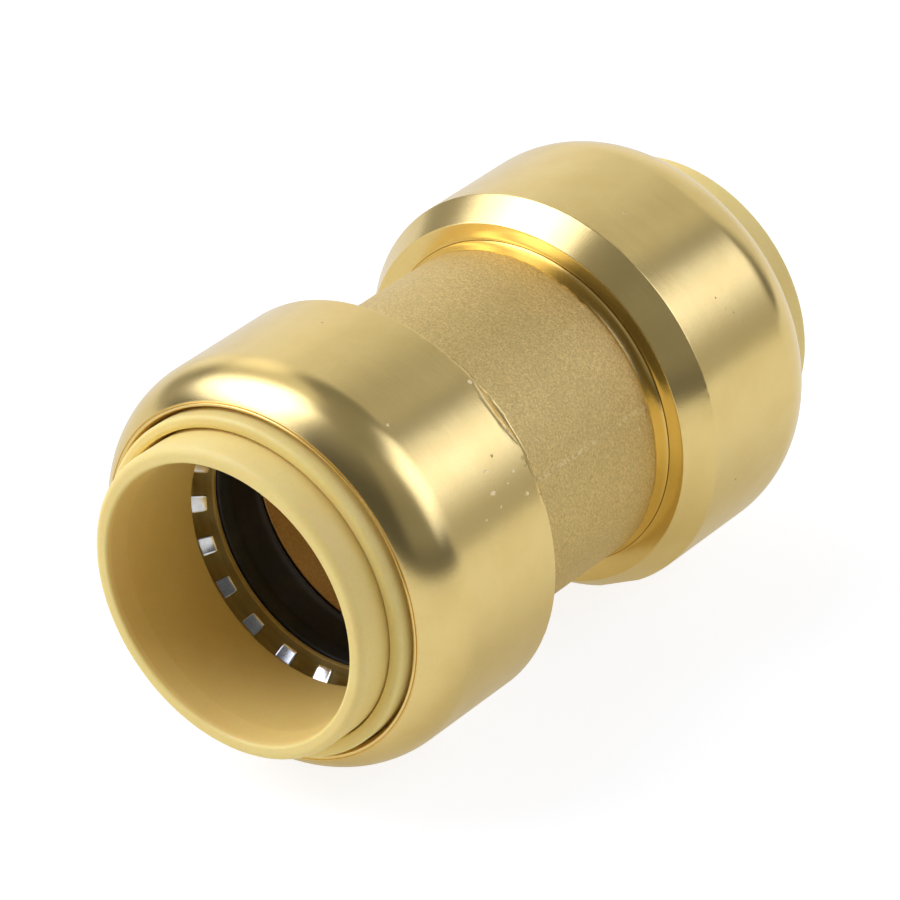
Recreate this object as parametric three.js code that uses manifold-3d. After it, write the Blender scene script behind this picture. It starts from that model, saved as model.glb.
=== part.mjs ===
// Straight push to connect coupling for 28.6 mm (nominal 1 inch) tube.
// Millimetres. The tube axis is Y, +Z is up, the origin is the centre of the body.
// The front end faces -Y and the rear end +Y; both hold the same stack of rings.
import * as THREE from 'three';
import { mergeVertices } from 'three/addons/utils/BufferGeometryUtils.js';
import Module from 'manifold-3d';

const wasm = await Module();
wasm.setup();

// ---- shared dimensions: radii end in _R, the rest are distances along the axis
// from the middle unless the comment says otherwise
const SEGMENTS = 40; // facets round every ring
const RADIAL_GAP = 0.15; // clearance between nested parts
const AXIAL_GAP = 0.1; // clearance between stacked parts

const BORE_R = 14.6; // tube socket, seat ring and collar share it
const SPIGOT_R = 17.7; // machined spigot under each cap
const SPIGOT_END = 20.6;
const SHOULDER = 10.8; // where cap and body meet
const SEAL_SEAT_R = 16.7; // counterbore for the seal

const POCKET_R = 19.4; // ring pocket inside the cap
const POCKET_TAPER_START = 28.95; // the pocket narrows from here to the mouth
const POCKET_TAPER_END = 30.05;
const MOUTH_R = 18.3; // opening in the cap's lip, around the guide ring
const POCKET_RING_R = POCKET_R - RADIAL_GAP; // outside of the rings in the pocket

const COLLAR_R = 16.6;
const GUIDE_BORE_R = 17.65; // wide bore that the collar's flange slides in
const GUIDE_LEDGE = 29.55; // stops the collar's flange

const RIM_BACK = 24.95; // flat rim of the grab ring
const RIM_FRONT = 25.35;

// ---- materials
const finish = ({ color, roughness, metalness }) =>
  new THREE.MeshStandardMaterial({ color, roughness, metalness });
const forgedBrass = () => finish({ color: 0xb89c5c, roughness: 0.55, metalness: 0.9 });
const machinedBrass = () => finish({ color: 0xd9c07a, roughness: 0.28, metalness: 1 });
const tanPlastic = () => finish({ color: 0xe6cf8f, roughness: 0.5, metalness: 0 });
const blackRubber = () => finish({ color: 0x151512, roughness: 0.6, metalness: 0 });
const stainless = () => finish({ color: 0xc9cbcc, roughness: 0.3, metalness: 1 });

// ---- helpers
// A closed ring: profile is a list of [radius, distance] that closes on itself.
// end is -1 for the front end and +1 for the rear.
function ring(profile, end = 1) {
  const points = profile.map(([radius, distance]) => new THREE.Vector2(radius, distance * end));
  // the lathe's faces point outwards only when the profile runs anticlockwise
  if (THREE.ShapeUtils.area(points) < 0) points.reverse();
  return new THREE.LatheGeometry([...points, points[0]], SEGMENTS);
}

function toSolid(geometry) {
  // normals and uvs would keep vertices at one place from merging
  geometry.deleteAttribute('normal');
  geometry.deleteAttribute('uv');
  const merged = mergeVertices(geometry, 1e-4);
  return new wasm.Manifold(new wasm.Mesh({
    numProp: 3,
    vertProperties: new Float32Array(merged.attributes.position.array),
    triVerts: new Uint32Array(merged.index.array),
  }));
}

function toGeometry(solid) {
  const { vertProperties, triVerts } = solid.getMesh();
  const geometry = new THREE.BufferGeometry();
  geometry.setAttribute('position', new THREE.BufferAttribute(new Float32Array(vertProperties), 3));
  geometry.setIndex(new THREE.BufferAttribute(new Uint32Array(triVerts), 1));
  geometry.computeVertexNormals();
  return geometry;
}

// ---- forged body: neck, machined shoulders, spigots, seal seats and tube stop
function body() {
  const neckR = 17.4; // rough forged neck
  const stopR = 12.7; // waterway through the tube stop
  const stopFace = 4.6; // tube ends bear here
  const sealSeat = 14.15; // counterbore shoulder
  // one half, from the neck out over the spigot and back in to the tube stop
  const half = [
    [neckR, 8.9], [neckR + 0.06, 9.7], [neckR + 0.18, 10.4], [SPIGOT_R, SHOULDER],
    [SPIGOT_R, SPIGOT_END], [SEAL_SEAT_R, SPIGOT_END], [SEAL_SEAT_R, sealSeat],
    [BORE_R, sealSeat], [BORE_R, stopFace], [stopR, stopFace],
  ];
  const mirrored = half.map(([radius, distance]) => [radius, -distance]).reverse();
  return ring([...half, ...mirrored]);
}

// ---- machined cap: shoulder at the back, rounded nose, thin lip, pocket for the rings
function endCap(end) {
  const capR = 21.75;
  const boreR = SPIGOT_R + RADIAL_GAP;
  const chamferEnd = 13.45;
  const frontChamfer = 0.4; // leg of the front cap's chamfer
  const noseStart = 26;
  const noseLong = 6.732; // semi-axes of the elliptical nose: along the axis
  const noseDeep = 6; // and radially
  const lip = 31.73;
  const lipR = 18.9;

  // the front cap has a cone with a chamfer, the rear one an undercut back and a long bevel
  const shoulder = end < 0
    ? [capR - frontChamfer, chamferEnd - frontChamfer]
    : [19.8, 10.42];
  // stations as fractions of the way from the nose's start to the lip
  const nose = [0.3, 0.52, 0.7, 0.84, 0.94].map((fraction) => {
    const along = (lip - noseStart) * fraction;
    const drop = noseDeep * (1 - Math.sqrt(1 - (along / noseLong) ** 2));
    return [capR - drop, noseStart + along];
  });
  return ring([
    [boreR, SHOULDER], shoulder, [capR, chamferEnd],
    [capR, noseStart], ...nose, [lipR, lip], [MOUTH_R, lip],
    [MOUTH_R, POCKET_TAPER_END], [POCKET_R, POCKET_TAPER_START],
    [POCKET_R, SPIGOT_END], [boreR, SPIGOT_END],
  ], end);
}

// ---- fixed plastic guide inside the nose
function guideRing(end) {
  const back = RIM_FRONT + AXIAL_GAP;
  const front = 33.1;
  const noseR = MOUTH_R - RADIAL_GAP;
  const collarBoreR = COLLAR_R + RADIAL_GAP;
  return ring([
    [POCKET_RING_R, back], [POCKET_RING_R, POCKET_TAPER_START - AXIAL_GAP],
    [noseR, POCKET_TAPER_END - AXIAL_GAP], [noseR, 32.2], [17.9, 32.8],
    [17.4, front], [collarBoreR, front - 0.1],
    [collarBoreR, GUIDE_LEDGE], [GUIDE_BORE_R, GUIDE_LEDGE], [GUIDE_BORE_R, back],
  ], end);
}

// ---- sliding release collar: nose, retaining flange, barrel, flared mouth
function releaseCollar(end) {
  const back = 24.4;
  const rim = 36.91; // outer rim, half the coupling's length
  const flangeR = GUIDE_BORE_R - RADIAL_GAP;
  const flangeBack = 28.25;
  const flangeFront = GUIDE_LEDGE - AXIAL_GAP;
  return ring([
    [BORE_R, back], [15.1, back], [15.4, 24.8], [15.4, 26.9],
    [16.4, 27.9], [16.4, flangeBack], [flangeR, flangeBack], [flangeR, flangeFront],
    [COLLAR_R, flangeFront], [COLLAR_R, 36.5], [16.25, rim], [15.15, rim],
    [14.85, 36.45], [BORE_R, 35],
  ], end);
}

// ---- plastic seat that keeps the seal in and carries the grab ring's rim
function seatRing(end) {
  const back = SPIGOT_END + AXIAL_GAP;
  const front = RIM_BACK - AXIAL_GAP;
  return ring([
    [BORE_R, back], [POCKET_RING_R, back], [POCKET_RING_R, front], [17.9, front],
    [17.3, 23.8], [16.7, 21.7], [15.7, 21.2], [BORE_R, 21.2],
  ], end);
}

// ---- seal with a crowned bore that grips the tube
function sealRing(end) {
  const outerR = SEAL_SEAT_R - RADIAL_GAP;
  return ring([
    [14.65, 14.35], [14.05, 15.6], [14.05, 19.2], [14.65, 20.45],
    [16.2, 20.45], [outerR, 20.1], [outerR, 14.7], [16.2, 14.35],
  ], end);
}

// ---- stamped grab ring: flat rim with teeth that lean inwards at 49 degrees to the axis
function grabRing(end) {
  const teeth = 20;
  const toothWidth = 1.8;
  const toothPhase = 2.94; // degrees from +X towards +Z
  const tipR = 13.95;
  const tip = 22.75;
  const rootR = 17.4;
  // roots stop just inside the rim's faces so that the union is clean
  const rootFront = RIM_FRONT - 0.02;
  const rootBack = RIM_BACK + 0.02;

  // side outline of one tooth: x outwards, y along the axis
  const side = new THREE.Shape([
    [tipR, tip], [16.95, rootFront], [rootR, rootFront], [rootR, rootBack],
    [17.12, rootBack], [tipR + 0.261, tip - 0.303],
  ].map(([x, y]) => new THREE.Vector2(x, y)));

  let solid = toSolid(ring([
    [16.8, RIM_BACK], [19.2, RIM_BACK], [19.2, RIM_FRONT], [16.8, RIM_FRONT],
  ], end));
  for (let i = 0; i < teeth; i += 1) {
    const tooth = new THREE.ExtrudeGeometry(side, { depth: toothWidth, bevelEnabled: false });
    tooth.translate(0, 0, -toothWidth / 2);
    if (end < 0) tooth.rotateX(Math.PI);
    tooth.rotateY(-THREE.MathUtils.degToRad(toothPhase + (360 / teeth) * i));
    solid = solid.add(toSolid(tooth));
  }
  return toGeometry(solid);
}

// ---- assembly
const group = new THREE.Group();
function add(name, geometry, material) {
  const mesh = new THREE.Mesh(geometry, material);
  mesh.name = name;
  group.add(mesh);
}

add('fitting_body', body(), forgedBrass());
for (const [word, end] of [['front', -1], ['rear', 1]]) {
  add(`${word}_end_cap`, endCap(end), machinedBrass());
  add(`${word}_guide_ring`, guideRing(end), tanPlastic());
  add(`${word}_release_collar`, releaseCollar(end), tanPlastic());
  add(`${word}_grab_ring`, grabRing(end), stainless());
  add(`${word}_seat_ring`, seatRing(end), tanPlastic());
  add(`${word}_seal_ring`, sealRing(end), blackRubber());
}

export default group;
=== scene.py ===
# Straight push to connect coupling, lying along Y with its middle at the origin.
# The front end is at -Y and the rear end at +Y. Lengths are millimetres unless noted.
import bpy
import bmesh
import math
from functools import reduce
import numpy as np
from mathutils import Matrix, Vector


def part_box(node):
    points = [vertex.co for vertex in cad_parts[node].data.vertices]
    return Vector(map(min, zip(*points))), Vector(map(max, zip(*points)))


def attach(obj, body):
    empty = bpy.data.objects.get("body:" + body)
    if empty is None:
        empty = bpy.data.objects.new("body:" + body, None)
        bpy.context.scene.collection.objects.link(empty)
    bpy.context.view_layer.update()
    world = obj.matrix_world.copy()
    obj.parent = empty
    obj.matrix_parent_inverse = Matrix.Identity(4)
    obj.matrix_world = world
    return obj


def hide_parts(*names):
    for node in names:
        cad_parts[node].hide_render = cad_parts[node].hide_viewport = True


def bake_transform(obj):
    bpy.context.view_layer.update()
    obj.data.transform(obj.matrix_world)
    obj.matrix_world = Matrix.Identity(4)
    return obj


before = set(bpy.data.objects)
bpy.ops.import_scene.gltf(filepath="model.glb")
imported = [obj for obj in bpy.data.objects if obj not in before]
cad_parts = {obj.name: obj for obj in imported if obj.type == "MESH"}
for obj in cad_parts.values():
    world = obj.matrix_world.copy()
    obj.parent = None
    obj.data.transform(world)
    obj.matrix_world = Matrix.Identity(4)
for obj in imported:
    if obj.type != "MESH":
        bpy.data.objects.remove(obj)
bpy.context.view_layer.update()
MM = 0.001
ENDS = (("front", -1), ("rear", 1))     # piece name and side along Y


# ------------------------------------------------------------ sizes from the frame
# In all outlines r is a radius and s a station: the distance from the middle along Y.
def span(node, axis=1):
    """Nearest and farthest distance from the middle along an axis."""
    low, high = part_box(node)
    return sorted((abs(low[axis]) / MM, abs(high[axis]) / MM))


def outer_radius(node):
    return span(node, axis=0)[1]


CAP_R = outer_radius("front_end_cap")
LIP_S = span("front_end_cap")[1]
CAP_INNER_S = span("rear_end_cap")[0]
SPIGOT_R = outer_radius("fitting_body")
SPIGOT_S = span("fitting_body")[1]
GUIDE_R = outer_radius("front_guide_ring")
GUIDE_INNER_S, GUIDE_OUTER_S = span("front_guide_ring")
FLANGE_R = outer_radius("front_release_collar")
COLLAR_INNER_S, COLLAR_OUTER_S = span("front_release_collar")
SEAT_R = outer_radius("front_seat_ring")
SEAT_INNER_S, SEAT_OUTER_S = span("front_seat_ring")
SEAL_R = outer_radius("front_seal_ring")
SEAL_INNER_S, SEAL_OUTER_S = span("front_seal_ring")
RIM_R = outer_radius("front_grab_ring")
RIM_S = span("front_grab_ring")[1]
NECK_R = 17.40
BORE_R = 14.60

BODY_SEGMENTS = 560
CAP_SEGMENTS = 512
RING_SEGMENTS = 320

# ------------------------------------------------------------ seeded 3-D noise
random = np.random.RandomState(7)
SHUFFLE = np.concatenate([random.permutation(256)] * 3)
GRADIENTS = random.normal(size=(256, 3))
GRADIENTS /= np.linalg.norm(GRADIENTS, axis=1)[:, None]


def noise3(points):
    """Gradient noise at an array of points."""
    cell = np.floor(points).astype(int)
    local = points - cell
    cell &= 255
    fade = local * local * local * (local * (local * 6 - 15) + 10)
    total = np.zeros(len(points))
    for corner in np.ndindex(2, 2, 2):
        x, y, z = ((cell + corner) & 255).T
        gradient = GRADIENTS[SHUFFLE[SHUFFLE[SHUFFLE[x] + y] + z]]
        weight = np.where(corner, fade, 1 - fade).prod(axis=1)
        total += weight * ((local - corner) * gradient).sum(1)
    return total * 1.6


def noise_at(x, y, z):
    """noise3 from coordinates that may be arrays or single numbers."""
    return noise3(np.stack(np.broadcast_arrays(x, y, z), 1))


def layered_noise(points, gain):
    """Two octaves of noise, the second one weaker by the gain."""
    return noise3(points) + gain * noise3(points * 2.03 + 17.3)


def smooth(value, start, end):
    t = np.clip((np.asarray(value, float) - start) / (end - start), 0, 1)
    return t * t * (3 - 2 * t)


def bell(value, width):
    return np.exp(-(value / width) ** 2)


def wrap(angle):
    """Bring an angle into the half turn either side of zero."""
    return (angle + math.pi) % (2 * math.pi) - math.pi


def on_ring(r, y, angle):
    return np.stack([r * np.cos(angle), y, r * np.sin(angle)], 1)


# ------------------------------------------------------------ closed ring profiles
def fillet(before, corner, after, radius, arc):
    """Points that round one corner; arc is the number of steps in a quarter turn."""
    to_before, to_after = before - corner, after - corner
    length_before, length_after = np.linalg.norm(to_before), np.linalg.norm(to_after)
    to_before, to_after = to_before / length_before, to_after / length_after
    angle = math.acos(np.clip(to_before @ to_after, -1, 1))
    if radius <= 0 or angle > math.radians(179):
        return [corner]
    trim = min(radius / math.tan(angle / 2), 0.49 * length_before, 0.49 * length_after)
    radius = trim * math.tan(angle / 2)
    middle = to_before + to_after
    centre = corner + middle / np.linalg.norm(middle) * radius / math.sin(angle / 2)
    start = corner + to_before * trim - centre
    end = corner + to_after * trim - centre
    start_angle = math.atan2(start[1], start[0])
    turn = wrap(math.atan2(end[1], end[0]) - start_angle)
    count = max(2, int(math.ceil(abs(turn) / math.radians(90) * arc)))
    angles = [start_angle + turn * j / count for j in range(count + 1)]
    return [centre + radius * np.array([math.cos(a), math.sin(a)]) for a in angles]


def side_points(start, end, step):
    """Points between two fillets, with a guard point close to each end."""
    length = np.linalg.norm(end - start)
    if length < 1e-6:
        return []
    step = step(0.5 * (start + end)) if callable(step) else step
    guard = min(0.06, 0.25 * length)
    fractions = [guard / length, 1 - guard / length] if length > 0.05 else []
    count = int(length / step)
    fractions += [j / (count + 1) for j in range(1, count + 1)]
    kept = []
    last = 0.0
    for t in sorted(fractions):
        clear_of_last = (t - last) * length > 0.3 * min(step, guard * 3)
        if clear_of_last and (1 - t) * length > 0.3 * guard:
            kept.append(start + (end - start) * t)
            last = t
    return kept


def rounded(corners, step, arc):
    """Dense closed loop of (r, s) from corners of (r, s, fillet radius)."""
    count = len(corners)
    places = [np.array(corner[:2], float) for corner in corners]
    arcs = [fillet(places[i - 1], places[i], places[(i + 1) % count], corners[i][2], arc)
            for i in range(count)]
    loop = []
    for i in range(count):
        loop += arcs[i] + side_points(arcs[i][-1], arcs[(i + 1) % count][0], step)
    return np.array(loop)


def add_object(name, data):
    item = bpy.data.objects.new(name, data)
    bpy.context.scene.collection.objects.link(item)
    return item


def face_outwards(mesh):
    bm = bmesh.new()
    bm.from_mesh(mesh)
    if bm.calc_volume(signed=True) < 0:
        bmesh.ops.reverse_faces(bm, faces=bm.faces[:])
    bm.to_mesh(mesh)
    bm.free()


def shade_smooth(mesh):
    mesh.polygons.foreach_set("use_smooth", [True] * len(mesh.polygons))


def lathe(name, loop, segments, side=1, reshape=None):
    """Closed ring about Y. reshape(r, s, angle) returns new radii and point attributes."""
    count = len(loop)
    r = np.repeat(loop[:, 0], segments)
    s = np.repeat(loop[:, 1], segments)
    angle = np.tile(np.arange(segments) * 2 * math.pi / segments, count)
    attributes = {}
    if reshape is not None:
        r, attributes = reshape(r, s, angle)
    points = on_ring(r, s * side, angle) * MM
    i, j = np.meshgrid(np.arange(count), np.arange(segments), indexing="ij")
    next_i, next_j = (i + 1) % count, (j + 1) % segments
    quads = np.stack([i * segments + j, i * segments + next_j,
                      next_i * segments + next_j, next_i * segments + j], -1).reshape(-1, 4)
    # loops that run either way round start from the same facing
    loop_r, loop_y = loop[:, 0], loop[:, 1] * side
    if np.sum(loop_r * np.roll(loop_y, -1) - np.roll(loop_r, -1) * loop_y) < 0:
        quads = quads[:, ::-1]
    mesh = bpy.data.meshes.new(name)
    mesh.from_pydata(points.tolist(), [], quads.tolist())
    mesh.update()
    face_outwards(mesh)
    shade_smooth(mesh)
    for key, values in attributes.items():
        attribute = mesh.attributes.new(key, "FLOAT", "POINT")
        attribute.data.foreach_set("value", np.asarray(values, np.float32))
    mesh.update()
    return add_object(name, mesh)


# ------------------------------------------------------------ node helpers
class Shader:
    """Adds nodes to one tree; any input takes a plain value or another node's output."""

    def __init__(self, tree):
        self.tree = tree

    def fill(self, node, inputs):
        for key, value in inputs.items():
            socket = node.inputs[key]
            if isinstance(value, bpy.types.NodeSocket):
                self.tree.links.new(value, socket)
            elif socket.type == "RGBA":
                socket.default_value = (*value, 1)
            else:
                socket.default_value = value

    def node(self, kind, inputs=None, **settings):
        node = self.tree.nodes.new(kind)
        for key, value in settings.items():
            setattr(node, key, value)
        self.fill(node, inputs or {})
        return node

    def surface(self, inputs):
        self.fill(self.tree.nodes["Principled BSDF"], inputs)

    def math(self, operation, *values):
        inputs = dict(enumerate(values))
        return self.node("ShaderNodeMath", inputs, operation=operation).outputs[0]

    def add(self, a, b):
        return self.math("ADD", a, b)

    def times(self, a, b):
        return self.math("MULTIPLY", a, b)

    def largest(self, a, b):
        return self.math("MAXIMUM", a, b)

    def clip(self, value):
        """Keep a value within -1 and 1."""
        return self.math("MINIMUM", self.largest(value, -1.0), 1.0)

    def vector(self, operation, inputs, output=0):
        return self.node("ShaderNodeVectorMath", inputs, operation=operation).outputs[output]

    def ramp(self, value, start, end, low=0.0, high=1.0):
        inputs = {"Value": value, "From Min": start, "From Max": end,
                  "To Min": low, "To Max": high}
        node = self.node("ShaderNodeMapRange", inputs,
                         interpolation_type="SMOOTHSTEP", clamp=True)
        return node.outputs["Result"]

    def mix(self, factor, a, b, blend="MIX"):
        """Mix two colours."""
        return self.node("ShaderNodeMix", data_type="RGBA", blend_type=blend,
                         inputs={0: factor, 6: a, 7: b}).outputs[2]

    def mix_value(self, factor, a, b):
        return self.node("ShaderNodeMix", {0: factor, 2: a, 3: b}, data_type="FLOAT").outputs[0]

    def tint(self, base, mask, amount, colour):
        return self.mix(self.times(mask, amount), base, colour)

    def noise(self, position, scale, detail=3.0, roughness=0.6, output="Fac"):
        inputs = {"Vector": position, "Scale": scale, "Detail": detail, "Roughness": roughness}
        return self.node("ShaderNodeTexNoise", inputs, noise_dimensions="3D").outputs[output]

    def line_noise(self, along, scale, detail, roughness):
        inputs = {"W": along, "Scale": scale, "Detail": detail, "Roughness": roughness}
        return self.node("ShaderNodeTexNoise", inputs, noise_dimensions="1D").outputs["Fac"]

    def bump(self, height, strength, distance, normal=None):
        inputs = {"Strength": strength, "Distance": distance, "Height": height}
        if normal is not None:
            inputs["Normal"] = normal
        return self.node("ShaderNodeBump", inputs).outputs["Normal"]

    def attribute(self, name):
        return self.node("ShaderNodeAttribute", attribute_name=name).outputs["Fac"]

    def seen_by_camera(self):
        return self.node("ShaderNodeLightPath").outputs["Is Camera Ray"]

    def position(self):
        return self.node("ShaderNodeTexCoord").outputs["Object"]

    def y_and_radius(self, position):
        x, y, z = self.node("ShaderNodeSeparateXYZ", {0: position}).outputs
        return y, self.math("SQRT", self.add(self.times(x, x), self.times(z, z)))

    def turning_path(self, position):
        """A distance that grows along a turned surface, on faces as on cylinders."""
        y, radius = self.y_and_radius(position)
        return self.add(y, self.times(radius, 0.93))


def new_material(name):
    material = bpy.data.materials.new(name)
    material.use_nodes = True
    return material, Shader(material.node_tree)


# ------------------------------------------------------------ materials
BRASS = (0.860, 0.655, 0.262)

# Marks on the turned caps: place, size, squeeze along Y (below 1 is longer)
BRIGHT_NICKS = [
    ((18.66, -19.40, 11.18), 0.30, 0.72), ((17.51, -19.00, 12.90), 0.20, 0.50),
    ((11.73, -13.96, 18.31), 0.26, 0.80), ((10.91, -25.56, 18.81), 0.24, 1.00),
    ((18.67, -17.06, 11.16), 0.17, 0.7), ((19.42, -19.14, 9.79), 0.19, 0.8),
    ((19.54, -21.49, 9.55), 0.15, 0.9), ((19.60, -15.20, 9.42), 0.22, 0.55),
    ((18.30, -15.80, 11.75), 0.15, 0.8), ((-15.2, -20.5, 15.55), 0.24, 0.8),
    ((6.4, 18.2, 20.8), 0.20, 0.7), ((-20.9, 17.0, 6.0), 0.26, 0.8),
    ((3.1, -22.0, -21.5), 0.26, 0.6), ((-9.0, 23.5, 19.8), 0.18, 0.8)]
DARK_PITS = [
    ((16.70, 19.85, 13.94), 0.17, 0.9), ((18.02, 21.13, 12.18), 0.20, 0.8),
    ((18.69, 21.95, 11.12), 0.16, 0.8), ((16.94, -17.31, 13.64), 0.26, 0.9),
    ((18.46, -13.95, 11.50), 0.26, 0.9), ((19.93, -13.63, 8.71), 0.20, 0.9),
    ((17.60, 20.35, 12.78), 0.10, 0.9), ((-17.0, 22.0, 13.6), 0.18, 0.8),
    ((-3.0, -18.0, 21.55), 0.16, 0.8), ((21.3, 17.5, -4.4), 0.2, 0.8)]
STAINS = [
    ((15.55, -14.20, 15.21), 0.62, 1.15), ((16.15, -13.75, 14.56), 0.42, 1.0),
    ((18.05, -13.85, 12.13), 0.50, 1.0), ((-19.3, 15.0, -10.0), 0.55, 1.0)]


def spots(shader, position, places, warp_scale, warp):
    """A soft irregular mask that is 1 at each place; warp is in metres."""
    colour = shader.noise(position, scale=warp_scale, detail=2.0, roughness=0.5, output="Color")
    centred = shader.vector("SUBTRACT", {0: colour, 1: (0.5, 0.5, 0.5)})
    shift = shader.vector("SCALE", {0: centred, "Scale": warp})
    moved = shader.vector("ADD", {0: position, 1: shift})
    masks = []
    for (x, y, z), size, squeeze in places:
        offset = shader.vector("SUBTRACT", {0: moved, 1: (x * MM, y * MM, z * MM)})
        scale = 1.0 / (0.84 * size * MM)
        scaled = shader.vector("MULTIPLY", {0: offset, 1: (scale, scale * squeeze, scale)})
        distance = shader.vector("LENGTH", {0: scaled}, output="Value")
        masks.append(shader.ramp(distance, start=0.35, end=1.05, low=1.0, high=0.0))
    return reduce(shader.largest, masks)


def machined_brass():
    material, shader = new_material("machined_brass")
    position = shader.position()
    path = shader.turning_path(position)
    lines = shader.line_noise(path, scale=9000.0, detail=2.0, roughness=0.6)
    bands = shader.line_noise(path, scale=700.0, detail=3.0, roughness=0.5)
    cloud = shader.noise(position, scale=230.0, roughness=0.55)
    grain = shader.noise(position, scale=5200.0, detail=2.0)
    nick = spots(shader, position, BRIGHT_NICKS, warp_scale=4200.0, warp=0.00048)
    pit = spots(shader, position, DARK_PITS, warp_scale=4200.0, warp=0.00040)
    stain = spots(shader, position, STAINS, warp_scale=1900.0, warp=0.00060)

    colour = shader.mix(shader.ramp(cloud, start=0.38, end=0.70), BRASS, (0.835, 0.625, 0.240))
    for mask, amount, tone in (
            (shader.ramp(grain, start=0.40, end=0.75), 0.22, (0.72, 0.52, 0.19)),
            # painted highlight on the flats cut into the cap edges
            (shader.attribute("facet"), 0.50, (1.0, 0.93, 0.66)),
            (nick, 0.62, (1.0, 0.90, 0.60)),
            (pit, 0.70, (0.34, 0.26, 0.10)),
            (stain, 0.62, (0.40, 0.32, 0.12))):
        colour = shader.tint(colour, mask, amount, tone)

    # roughness: how much each mask adds to a base of 0.15
    rough_parts = ((cloud, 0.06), (lines, 0.05), (shader.largest(nick, pit), 0.4), (stain, 0.12))
    rough = reduce(shader.add, [shader.times(mask, amount) for mask, amount in rough_parts])

    dents = shader.math("SUBTRACT", 0.0, shader.add(pit, nick))
    normal = shader.bump(lines, strength=0.10, distance=0.00002)
    normal = shader.bump(bands, strength=0.06, distance=0.00006, normal=normal)
    normal = shader.bump(grain, strength=0.13, distance=0.00003, normal=normal)
    normal = shader.bump(dents, strength=0.30, distance=0.00003, normal=normal)
    tangent = shader.node("ShaderNodeTangent", direction_type="RADIAL", axis="Y").outputs[0]
    shader.surface({
        "Base Color": colour, "Metallic": 1.0, "Roughness": shader.add(rough, 0.15),
        "Tangent": tangent, "Anisotropic": 0.25, "Normal": normal})
    return material


def forged_brass():
    material, shader = new_material("forged_brass")
    position = shader.position()
    machined = shader.attribute("machined")
    witness = shader.attribute("witness")
    bore = shader.attribute("bore")
    grain = shader.noise(position, scale=4300.0, roughness=0.66)
    fine_grain = shader.noise(position, scale=9000.0, detail=2.0)
    cloud = shader.noise(position, scale=420.0, roughness=0.5)
    speck = shader.ramp(shader.noise(position, scale=2300.0, detail=2.0), start=0.44, end=0.60)

    forged = shader.mix(shader.ramp(grain, start=0.34, end=0.68),
                        (0.60, 0.435, 0.160), (0.84, 0.630, 0.248))
    for mask, amount, tone in (
            (shader.ramp(fine_grain, start=0.56, end=0.72), 0.45, (1.0, 0.82, 0.42)),
            (shader.ramp(cloud, start=0.4, end=0.75), 0.25, (0.62, 0.455, 0.17)),
            (shader.times(witness, speck), 0.55, (1.0, 0.88, 0.50))):
        forged = shader.tint(forged, mask, amount, tone)
    bore_colour = shader.mix(shader.ramp(grain, start=0.3, end=0.7),
                             (0.70, 0.49, 0.20), (0.88, 0.63, 0.27))
    colour = shader.mix(bore, shader.mix(machined, forged, BRASS), bore_colour)

    forged_rough = shader.add(shader.times(fine_grain, 0.16), 0.38)
    outer_rough = shader.mix_value(machined, forged_rough, 0.18)

    height = shader.add(shader.times(grain, 0.7), shader.times(fine_grain, 0.5))
    height = shader.times(height, shader.math("SUBTRACT", 1.0, machined))
    lines = shader.line_noise(shader.turning_path(position),
                              scale=9000.0, detail=2.0, roughness=0.6)
    normal = shader.bump(height, strength=0.80, distance=0.00012)
    normal = shader.bump(shader.times(lines, machined),
                         strength=0.12, distance=0.00002, normal=normal)
    shader.surface({
        "Base Color": colour, "Metallic": 1.0,
        "Roughness": shader.mix_value(bore, outer_rough, 0.42), "Normal": normal})
    return material


def tan_plastic(name, shade):
    """Moulded plastic with painted shade near the bore, darker and more orange there; shade
    darkens the whole piece as painted shade.
    """
    material, shader = new_material(name)
    position = shader.position()
    _, radius = shader.y_and_radius(position)
    cloud = shader.noise(position, scale=160.0, roughness=0.5)
    speck = shader.noise(position, scale=3400.0)
    # the painted shade near the bore fades out between radii of 14.75 and 15.15, in units of 16
    # mm
    outer = shader.ramp(shader.math("DIVIDE", radius, 0.016), start=14.75 / 16, end=15.15 / 16)

    colour = shader.mix(shader.ramp(cloud, start=0.35, end=0.7),
                        (0.945, 0.745, 0.264), (0.920, 0.712, 0.242))
    colour = shader.tint(colour, shader.ramp(speck, start=0.45, end=0.75),
                         amount=0.16, colour=(0.78, 0.575, 0.175))
    # painted shade: bore surfaces darker and more orange
    bore_shaded = shader.mix(1.0, colour, (0.96, 0.89, 0.76), blend="MULTIPLY")
    colour = shader.mix(outer, bore_shaded, colour)
    # shade below 1 darkens the whole piece as painted shade
    colour = shader.mix(1.0, colour, (shade, shade, shade), blend="MULTIPLY")
    shader.surface({
        "Base Color": colour, "Roughness": shader.add(shader.times(speck, 0.12), 0.36),
        "IOR": 1.48, "Specular IOR Level": 0.42, "Subsurface Weight": 0.35,
        "Subsurface Radius": (1.0, 0.62, 0.22), "Subsurface Scale": 0.0011,
        "Normal": shader.bump(speck, strength=0.10, distance=0.00005)})
    return material


def mottled(name, metallic, grain_scale, patch_scale, patch_start, colours,
            rough_range, rough_base, bump_strength, bump_distance):
    """A fine-grained surface with soft patches of two colours."""
    material, shader = new_material(name)
    position = shader.position()
    grain = shader.noise(position, scale=grain_scale)
    patch = shader.ramp(shader.noise(position, scale=patch_scale), start=patch_start, end=0.7)
    shader.surface({
        "Base Color": shader.mix(patch, *colours), "Metallic": metallic,
        "Roughness": shader.add(shader.times(grain, rough_range), rough_base),
        "Normal": shader.bump(grain, strength=bump_strength, distance=bump_distance)})
    return material


def black_rubber():
    return mottled(
        "black_rubber", metallic=0.0, grain_scale=2600.0, patch_scale=300.0, patch_start=0.4,
        colours=((0.012, 0.012, 0.011), (0.024, 0.023, 0.020)),
        rough_range=0.2, rough_base=0.42, bump_strength=0.25, bump_distance=0.00006)


def stainless_steel():
    return mottled(
        "stainless_steel", metallic=1.0, grain_scale=2500.0, patch_scale=520.0,
        patch_start=0.35, colours=((0.76, 0.76, 0.75), (0.62, 0.615, 0.60)),
        rough_range=0.12, rough_base=0.12, bump_strength=0.15, bump_distance=0.00005)


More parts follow.
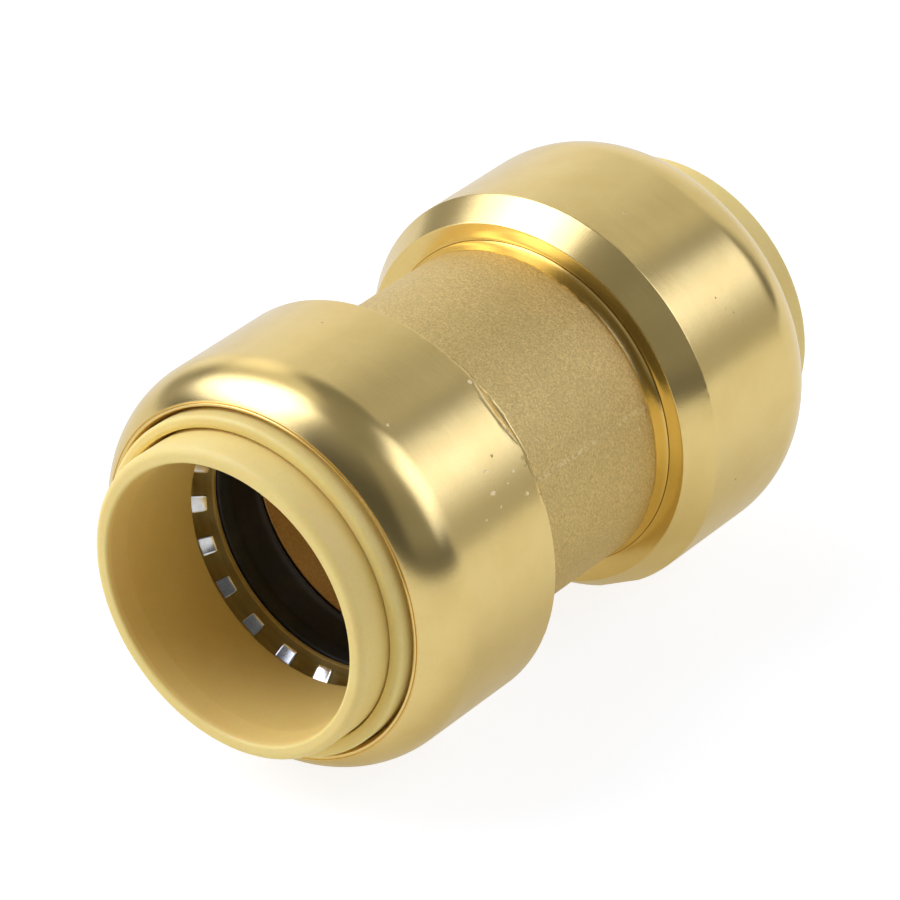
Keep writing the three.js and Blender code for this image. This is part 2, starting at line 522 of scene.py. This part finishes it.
MATERIALS = {
    "machined_brass": machined_brass(),
    "forged_brass": forged_brass(),
    "tan_plastic": tan_plastic("tan_plastic", shade=1.0),
    "black_rubber": black_rubber(),
    "stainless_steel": stainless_steel()}
# the seat ring deep in the mouth gets the plastic darkened to 0.62 as painted shade
SEAT_PLASTIC_SHADED = tan_plastic("tan_plastic_shaded", shade=0.62)


def finish_piece(piece, slot, node, body=None, material=None):
    """Give a piece its material, hide the frame's node it replaces and hang it on its body if
    one is given.
    """
    piece.data.materials.append(material or MATERIALS[slot])
    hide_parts(node)
    if body:
        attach(piece, body)


# ------------------------------------------------------------ forged body
PARTING = math.radians(21.6)      # angle of the line where the two die halves meet
JOINT_R = 17.755                  # radius where the flare meets the joint
NECK_STEP = 0.21

# Nicks and burrs by the witness line: station, angle from the line, height, width
BURRS = (
    (9.0, 0.0, -0.16, 0.30), (8.45, -0.035, 0.10, 0.22), (7.55, -0.075, -0.10, 0.2),
    (7.2, -0.10, 0.09, 0.2), (-8.9, 0.02, 0.12, 0.3), (-8.7, -0.05, -0.12, 0.25),
    (6.6, -0.12, -0.07, 0.18))


def body_corners():
    """Section corners (r, s, fillet): neck, then the rear half, then the front half."""
    # the cut leaves the neck at a shallow angle and steepens towards the joint
    stations = np.linspace(8.95, 10.66, 19)
    tilt = np.interp(stations, [8.95, 9.15, 9.95, 10.35, 10.66], [4.0, 8.0, 9.5, 17.0, 29.0])
    steps = np.diff(stations) * np.tan(np.radians((tilt[1:] + tilt[:-1]) / 2))
    rise = np.concatenate([[0], np.cumsum(steps)])
    rise *= (JOINT_R - NECK_R) / rise[-1]
    rear = [(NECK_R + height, s, 0) for height, s in zip(rise[3:], stations[3:])]
    rear += [
        (17.785, 10.74, 0.04), (SPIGOT_R, 10.92, 0.04), (SPIGOT_R, SPIGOT_S, 0.2),
        (16.7, SPIGOT_S, 0.12), (16.7, 14.15, 0.25), (BORE_R, 14.15, 0.12),
        (BORE_R, 4.6, 0.35), (12.7, 4.6, 0.35)]
    neck = [(NECK_R, s, 0) for s in np.arange(-8.96, 8.97, NECK_STEP)]
    return neck + rear + [(r, -s, radius) for r, s, radius in rear[::-1]]


def forge(r, s, angle):
    """Roughen the neck and raise the witness lines of the dies on it."""
    position = on_ring(r, s, angle)
    outside = r > 17.0
    # the forged skin ends at an uneven edge near each shoulder
    x, z, side = np.cos(angle), np.sin(angle), np.sign(s)
    edge = (8.98 + 0.14 * noise_at(x * 5, z * 5, side * 3.0)
            + 0.10 * noise_at(x * 23, z * 23, side * 9.0))
    machined = np.where(outside, smooth(np.abs(s), edge - 0.08, edge + 0.16), 1.0)
    forged = (1 - machined) * outside
    # skin: fine grain, coarser grain and slow waves
    change = (0.016 * layered_noise(position / 0.42, gain=0.6)
              + 0.014 * layered_noise(position / 1.2 + 40, gain=0.5)
              + 0.045 * noise3(position / 7.5 + 9))
    witness = np.zeros(len(r))
    for line, size in ((PARTING, 1.0), (PARTING + math.pi, 0.8)):
        # raised line, uneven in place, height and brightness along its length
        across = wrap(angle - line) * NECK_R + 0.10 * noise_at(s / 2.4, line, 0)
        height = 0.060 + 0.060 * noise_at(s / 0.55, 0, line * 3)
        change = change + size * height * bell(across, 0.17)
        bright = np.clip(0.60 + 1.4 * noise_at(s / 1.3, 4, line), 0, 1)
        witness = witness + bright * bell(across, 0.19)
        # one die sits a hair lower than the other
        step = smooth(across, -0.12, 0.12) * np.exp(-np.abs(across) / 2.5)
        change = change - size * 0.030 * step
    for station, offset, height, width in BURRS:
        across = wrap(angle - PARTING - offset) * NECK_R
        change = change + height * np.exp(
            -(across / width) ** 2 - ((s - station) / (width * 0.9)) ** 2)
    return r + change * forged, {
        "machined": machined,
        "witness": witness * forged,
        "bore": np.where((r < 15.0) & (np.abs(s) < 14.4), 1.0, 0.0)}


body_loop = rounded(body_corners(), step=0.9, arc=5)
finish_piece(lathe("forged_body", body_loop, BODY_SEGMENTS, reshape=forge),
             "forged_brass", "fitting_body", "fitting")

# ------------------------------------------------------------ machined caps
CAP_EDGE_S = 13.45                # turned edge where the full radius begins
NOSE_S = 26.0                     # where the rounded nose begins
NOSE_DEPTH = 6.0                  # half axes of the nose ellipse, across and along
NOSE_LENGTH = 6.732
NOSE_END_S = 31.56                # nose points beyond this give way to the lip
NOSE_STEPS = 33
NOSE_SWEEP = 1.25                 # radians; packs points towards the end of the nose
CAP_OUTSIDE_R = 19.9              # only points beyond this radius are marked

# Flats rubbed on the edge by side: angle, half width, tilt (degrees), brightness of the
# highlight painted on the flat
FLATS = {
    -1: ((47.2, 9.4, 26.0, 1.0), (31.0, 2.2, 30.0, 0.25), (23.8, 2.0, 28.0, 0.25)),
    1: ((-62.0, 6.0, 20.0, 1.0),)}


def cap_loop(side):
    corners = [(17.80, 10.80, 0.05)]
    if side > 0:     # rear cap: wide chamfer
        corners += [(19.80, CAP_INNER_S, 0.10), (CAP_R, CAP_EDGE_S, 0.13)]
    else:            # front cap: steep shoulder with a small edge break
        corners += [(21.37, 13.08, 0.12), (CAP_R, CAP_EDGE_S, 0.15)]
    corners.append((CAP_R, NOSE_S, 0))
    for k in range(1, NOSE_STEPS + 1):
        t = math.sin(k / NOSE_STEPS * NOSE_SWEEP) / math.sin(NOSE_SWEEP)
        x = t * (LIP_S - NOSE_S) / NOSE_LENGTH
        station = NOSE_S + (LIP_S - NOSE_S) * t
        if station < NOSE_END_S:
            drop = NOSE_DEPTH * (1 - math.sqrt(max(0.0, 1 - x * x)))
            corners.append((CAP_R - drop, station, 0))
    # fine scored line, rolled lip, then the gap round the guide ring
    corners += [
        (19.07, 31.60, 0.02), (18.99, 31.47, 0.02), (18.93, 31.50, 0.02),
        (18.87, LIP_S - 0.01, 0.08), (18.62, LIP_S, 0.10), (18.50, 31.48, 0.05),
        (18.33, 31.10, 0.1), (18.32, 30.05, 0.1), (19.40, 28.95, 0.1),
        (19.40, SPIGOT_S, 0.2), (17.80, SPIGOT_S, 0.1)]

    def step(place):
        """Coarse inside, finest near the turned edge."""
        if place[0] < CAP_OUTSIDE_R:
            return 0.8
        return 0.16 if place[1] < 15.2 else 0.34
    return rounded(corners, step=step, arc=4)


def cap_marks(side):
    def reshape(r, s, angle):
        outside = r > CAP_OUTSIDE_R
        # slightly uneven turned edge, and long shallow waves
        uneven = noise_at(np.cos(angle) * 40, np.sin(angle) * 40, side)
        change = 0.018 * uneven * bell(s - CAP_EDGE_S, 0.12)
        change = change - 0.004 * np.abs(noise3(on_ring(r, s * side, angle) / 3.1 + 5))
        change = np.where(outside, change, 0)
        facet = np.zeros(len(r))
        for flat in FLATS[side]:
            middle, half_width, tilt = (math.radians(value) for value in flat[:3])
            normal_r, normal_s = math.cos(tilt), -math.sin(tilt)
            # the plane meets the edge, 0.06 inside the cap radius, at the flat's two ends
            plane = (normal_r * (CAP_R - 0.06) * math.cos(half_width)
                     + normal_s * CAP_EDGE_S)
            turn = wrap(angle - middle)
            near = outside & (s < 15.5) & (np.abs(turn) < 0.5)
            over = np.where(near, normal_r * r * np.cos(turn) + normal_s * s - plane, -1)
            cut = over > 0
            r = np.where(cut, r - over / normal_r / np.maximum(np.cos(turn), 0.5), r)
            # each flat also gets a painted highlight in the colour, as strong as its brightness
            shown = np.where(cut & (s > 13.0), smooth(over, 0.0, 0.02), 0)
            facet = np.maximum(facet, shown * flat[3])
        # nothing stands proud of the turned size
        change = np.minimum(change, np.maximum(0, CAP_R - r))
        return r + change, {"facet": facet * outside}
    return reshape


for word, side in ENDS:
    cap = lathe(f"{word}_cap", cap_loop(side), CAP_SEGMENTS, side, cap_marks(side))
    finish_piece(cap, "machined_brass", f"{word}_end_cap", "fitting")

# ------------------------------------------------------------ plastic and rubber rings
# Section corners: r, s, fillet radius
guide_loop = rounded([
    (GUIDE_R, GUIDE_INNER_S, 0.2), (GUIDE_R, 28.85, 0.2), (18.15, 29.95, 0.2),
    (18.15, GUIDE_OUTER_S - 0.05, 0.80), (17.35, GUIDE_OUTER_S, 0.8),
    (16.72, GUIDE_OUTER_S - 0.1, 0.28), (16.72, 29.55, 0.1), (17.65, 29.55, 0.1),
    (17.65, GUIDE_INNER_S, 0.15)], step=0.6, arc=6)
collar_loop = rounded([
    (BORE_R, COLLAR_INNER_S, 0.18), (15.1, COLLAR_INNER_S, 0.2), (15.4, 24.8, 0.3),
    (15.4, 26.9, 0.3), (16.4, 27.9, 0.2), (16.4, 28.25, 0.1), (FLANGE_R, 28.25, 0.15),
    (FLANGE_R, 29.45, 0.15), (16.6, 29.45, 0.1), (16.6, COLLAR_OUTER_S, 0.85),
    (15.0, COLLAR_OUTER_S, 0.34), (14.83, 36.3, 0.5), (BORE_R, 34.2, 2.0)], step=0.6, arc=9)
seat_loop = rounded([
    (BORE_R, SEAT_INNER_S, 0.1), (SEAT_R, SEAT_INNER_S, 0.15), (SEAT_R, SEAT_OUTER_S, 0.15),
    (17.9, SEAT_OUTER_S, 0.15), (17.3, 23.8, 0.3), (16.7, 21.7, 0.35), (15.7, 21.2, 0.3),
    (BORE_R, 21.2, 0.15)], step=0.6, arc=5)
seal_loop = rounded([
    (14.65, SEAL_INNER_S, 0.45), (14.05, 15.7, 1.3), (14.05, 19.1, 1.3),
    (14.65, SEAL_OUTER_S, 0.45), (SEAL_R, SEAL_OUTER_S, 0.5), (SEAL_R, SEAL_INNER_S, 0.5)],
    step=0.5, arc=8)


def widen_mouth(r, s, angle):
    """The guide ring's mouth is a touch wider round one side."""
    mouth = smooth(17.3 - r, 0.0, 0.3) * smooth(s, 31.6, 32.6)
    return r + 0.20 * mouth * np.maximum(0, np.cos(angle - math.radians(133))) ** 3, {}


for word, side in ENDS:
    guide = lathe(f"{word}_guide", guide_loop, RING_SEGMENTS, side, widen_mouth)
    finish_piece(guide, "tan_plastic", f"{word}_guide_ring", "fitting")
    collar = lathe(f"{word}_collar", collar_loop, RING_SEGMENTS, side)
    finish_piece(collar, "tan_plastic", f"{word}_release_collar", f"{word}_collar")
    seat = lathe(f"{word}_seat", seat_loop, RING_SEGMENTS, side)
    finish_piece(seat, "tan_plastic", f"{word}_seat_ring", "fitting", SEAT_PLASTIC_SHADED)
    seal = lathe(f"{word}_seal", seal_loop, RING_SEGMENTS, side)
    finish_piece(seal, "black_rubber", f"{word}_seal_ring", "fitting")

# ------------------------------------------------------------ toothed grab rings
TEETH = 20
FIRST_TOOTH = math.radians(2.94)
PITCH = 2 * math.pi / TEETH
COLUMNS = 8                       # columns across a tooth, and across a gap
SHEET = 0.36
RIM_RADII = (RIM_R - 0.02, 18.4, 17.7, 17.25)
ROOT_HALF_ANGLE = 1.18 / RIM_RADII[-1]
# Middle line of a tooth from the root bend to the tip: r, s
TOOTH = [(17.0, 25.13), (16.72, 24.98), (16.3, 24.64), (15.8, 24.22),
         (15.3, 23.79), (14.85, 23.40), (14.42, 23.00), (14.14, 22.70)]


def grab_sheet(name, side):
    """The ring as a thin sheet: flat rim with teeth bent inwards."""
    bm = bmesh.new()

    def put(r, s, angle, across=0):
        x, z = math.cos(angle), math.sin(angle)
        return bm.verts.new(((r * x - across * z) * MM, s * side * MM,
                             (r * z + across * x) * MM))

    tooth_angles = [FIRST_TOOTH + i * PITCH for i in range(TEETH)]
    column_angles = []
    for angle in tooth_angles:
        for start, width in ((angle - ROOT_HALF_ANGLE, 2 * ROOT_HALF_ANGLE),
                             (angle + ROOT_HALF_ANGLE, PITCH - 2 * ROOT_HALF_ANGLE)):
            column_angles += [start + width * k / COLUMNS for k in range(COLUMNS)]
    rim = [[put(r, RIM_S - SHEET / 2, angle) for r in RIM_RADII] for angle in column_angles]
    for c, column in enumerate(rim):
        following = rim[(c + 1) % len(rim)]
        for j in range(len(RIM_RADII) - 1):
            bm.faces.new((column[j], following[j], following[j + 1], column[j + 1]))

    for i, angle in enumerate(tooth_angles):
        previous = [rim[i * 2 * COLUMNS + k][-1] for k in range(COLUMNS + 1)]
        for j, (r, s) in enumerate(TOOTH):
            t = j / (len(TOOTH) - 1)
            half_width = 1.10 - 0.22 * t
            if j == len(TOOTH) - 1:
                half_width -= 0.05
            row = []
            for k in range(COLUMNS + 1):
                u = -1 + 2 * k / COLUMNS
                crown = 0.07 * t * (1 - u * u)      # shallow gutter along the tooth
                row.append(put(r + crown * 0.65, s - crown * 0.75, angle, u * half_width))
            for k in range(COLUMNS):
                bm.faces.new((previous[k], previous[k + 1], row[k + 1], row[k]))
            previous = row
    bmesh.ops.recalc_face_normals(bm, faces=bm.faces[:])
    mesh = bpy.data.meshes.new(name)
    bm.to_mesh(mesh)
    bm.free()
    return add_object(name, mesh)


def grab_ring(name, side):
    """Thicken the sheet and soften its edges, then keep the result as a plain mesh."""
    ring = grab_sheet(name, side)
    solid = ring.modifiers.new("thick", "SOLIDIFY")
    solid.thickness = SHEET * MM
    solid.offset = 0
    solid.use_even_offset = True
    bevel = ring.modifiers.new("edge", "BEVEL")
    bevel.width = 0.05 * MM
    bevel.segments = 2
    bevel.limit_method = "ANGLE"
    bevel.angle_limit = math.radians(50)
    depsgraph = bpy.context.evaluated_depsgraph_get()
    mesh = bpy.data.meshes.new_from_object(ring.evaluated_get(depsgraph))
    mesh.name = name + "_mesh"
    ring.modifiers.clear()
    ring.data = mesh
    shade_smooth(mesh)
    face_outwards(mesh)
    mesh.set_sharp_from_angle(angle=math.radians(32))
    return ring


for word, side in ENDS:
    ring = grab_ring(f"{word}_grab", side)
    finish_piece(ring, "stainless_steel", f"{word}_grab_ring")
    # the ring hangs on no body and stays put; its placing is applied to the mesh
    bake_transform(ring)


# ------------------------------------------------------------ floor
def white_floor():
    """Bright for the camera with a faint shadow, a shade darker in reflections."""
    material, shader = new_material("floor_white")
    seen = shader.seen_by_camera()
    shader.surface({
        "Base Color": shader.mix(seen, (0.55, 0.55, 0.55), (0.30, 0.30, 0.30)),
        "Roughness": 0.8, "Specular IOR Level": 0.0,
        "Emission Color": shader.mix(seen, (1.0, 0.97, 0.76), (1, 1, 1)),
        "Emission Strength": shader.mix_value(seen, 0.34, 0.84)})
    return material


FLOOR_Z = -CAP_R * MM - 0.00002       # metres, just under the caps
floor_mesh = bpy.data.meshes.new("floor")
floor_mesh.from_pydata([(x, y, FLOOR_Z) for x, y in ((-3, -3), (3, -3), (3, 3), (-3, 3))],
                       [], [(0, 1, 2, 3)])
floor = add_object("floor", floor_mesh)
floor.data.materials.append(white_floor())

# ------------------------------------------------------------ light
# Soft-edged panels in the sky, in degrees: compass angle from +X towards +Y, half width,
# its softness, low and high edge, their softness; then brightness
BOXES = [                                # a cooler white
    (-148, 34, 20, 20, 76, 16, 2.3),     # large soft box on the camera's left
    (-150, 19, 22, 34, 61, 20, 2.6),     # its hot centre
    (36, 26, 9, 18, 57, 16, 1.24),       # strip box on the right
    (34, 15, 14, 27, 52, 14, 0.9),       # its hot centre
]
FILLS = [
    (115, 42, 18, -12, 47, 16, 0.66),    # white sweep behind
    (130, 26, 22, -12, 24, 20, 0.16),    # its lower part
    (170, 22, 20, -12, 18, 12, 0.22),    # low on the left, behind
    (44, 15, 12, -2, 17, 12, 0.34),      # low on the right
    (163, 26, 18, 24, 78, 14, 0.55),     # spill round the left box
    (-128, 20, 14, -6, 14, 8, 2.6),      # low fill on the left
    (-14, 22, 18, 12, 62, 16, 0.17),     # on the right, towards the camera
]


def build_world():
    world = bpy.data.worlds.new("studio")
    bpy.context.scene.world = world
    world.use_nodes = True
    shader = Shader(world.node_tree)
    direction = shader.node("ShaderNodeTexCoord").outputs["Generated"]
    x, y, z = shader.node("ShaderNodeSeparateXYZ", {0: direction}).outputs
    level = shader.math("SQRT", shader.add(shader.times(x, x), shader.times(y, y)))
    level = shader.largest(level, 1e-4)
    elevation = shader.math("ARCSINE", shader.clip(z))

    def edge(value, place, softness, low=0.0, high=1.0):
        return shader.ramp(value, math.radians(place - softness / 2),
                           math.radians(place + softness / 2), low, high)

    def panel(azimuth, half_width, side_soft, bottom, top, end_soft, power):
        facing = math.radians(azimuth)
        along = shader.add(shader.times(x, math.cos(facing)), shader.times(y, math.sin(facing)))
        away = shader.math("ARCCOSINE", shader.clip(shader.math("DIVIDE", along, level)))
        sides = edge(away, half_width, side_soft, low=1.0, high=0.0)
        height = shader.times(edge(elevation, bottom, end_soft),
                              edge(elevation, top, end_soft, low=1.0, high=0.0))
        return shader.times(shader.times(sides, height), power)

    def lights(table):
        return reduce(shader.add, [panel(*row) for row in table])

    # the camera sees an even white; the panels show only to other rays
    seen = shader.seen_by_camera()
    room = shader.ramp(elevation, math.radians(30), math.radians(75), low=0.09, high=0.26)
    fill = world.node_tree.nodes["Background"]
    fill_strength = shader.mix_value(seen, shader.add(lights(FILLS), room), 0.97)
    shader.fill(fill, {"Color": (1, 1, 1), "Strength": fill_strength})
    boxes = shader.node("ShaderNodeBackground", {
        "Color": (0.95, 1.0, 1.28), "Strength": shader.mix_value(seen, lights(BOXES), 0.0)})
    both = shader.node("ShaderNodeAddShader", {0: fill.outputs[0], 1: boxes.outputs[0]})
    shader.fill(world.node_tree.nodes["World Output"], {"Surface": both.outputs[0]})


build_world()

# ------------------------------------------------------------ camera
# It looks down on the front end and the +X side.
AZIMUTH, ELEVATION = math.radians(37.558), math.radians(31.449)
# Middle of the coupling seen from the camera, for a cap radius of 21.75
TO_RIGHT, TO_DOWN, TO_FORWARD = 1.106156, -0.341369, 556.452
CAMERA_SCALE = CAP_R / 21.75

right = Vector((math.cos(AZIMUTH), math.sin(AZIMUTH), 0))
forward = Vector((-math.sin(AZIMUTH) * math.cos(ELEVATION),
                  math.cos(AZIMUTH) * math.cos(ELEVATION), -math.sin(ELEVATION)))
down = forward.cross(right)
offset = TO_RIGHT * right + TO_DOWN * down + TO_FORWARD * forward
camera_data = bpy.data.cameras.new("camera")
camera_data.sensor_width = 36.0
camera_data.lens = 223.024
camera_data.clip_start = 0.01
camera_data.clip_end = 20.0
camera = add_object("camera", camera_data)
turn = Matrix((right, -down, -forward)).transposed()
camera.matrix_world = Matrix.Translation(-offset * MM * CAMERA_SCALE) @ turn.to_4x4()
bpy.context.scene.camera = camera
bpy.context.scene.view_settings.view_transform = "Standard"
bpy.context.scene.view_settings.look = "None"
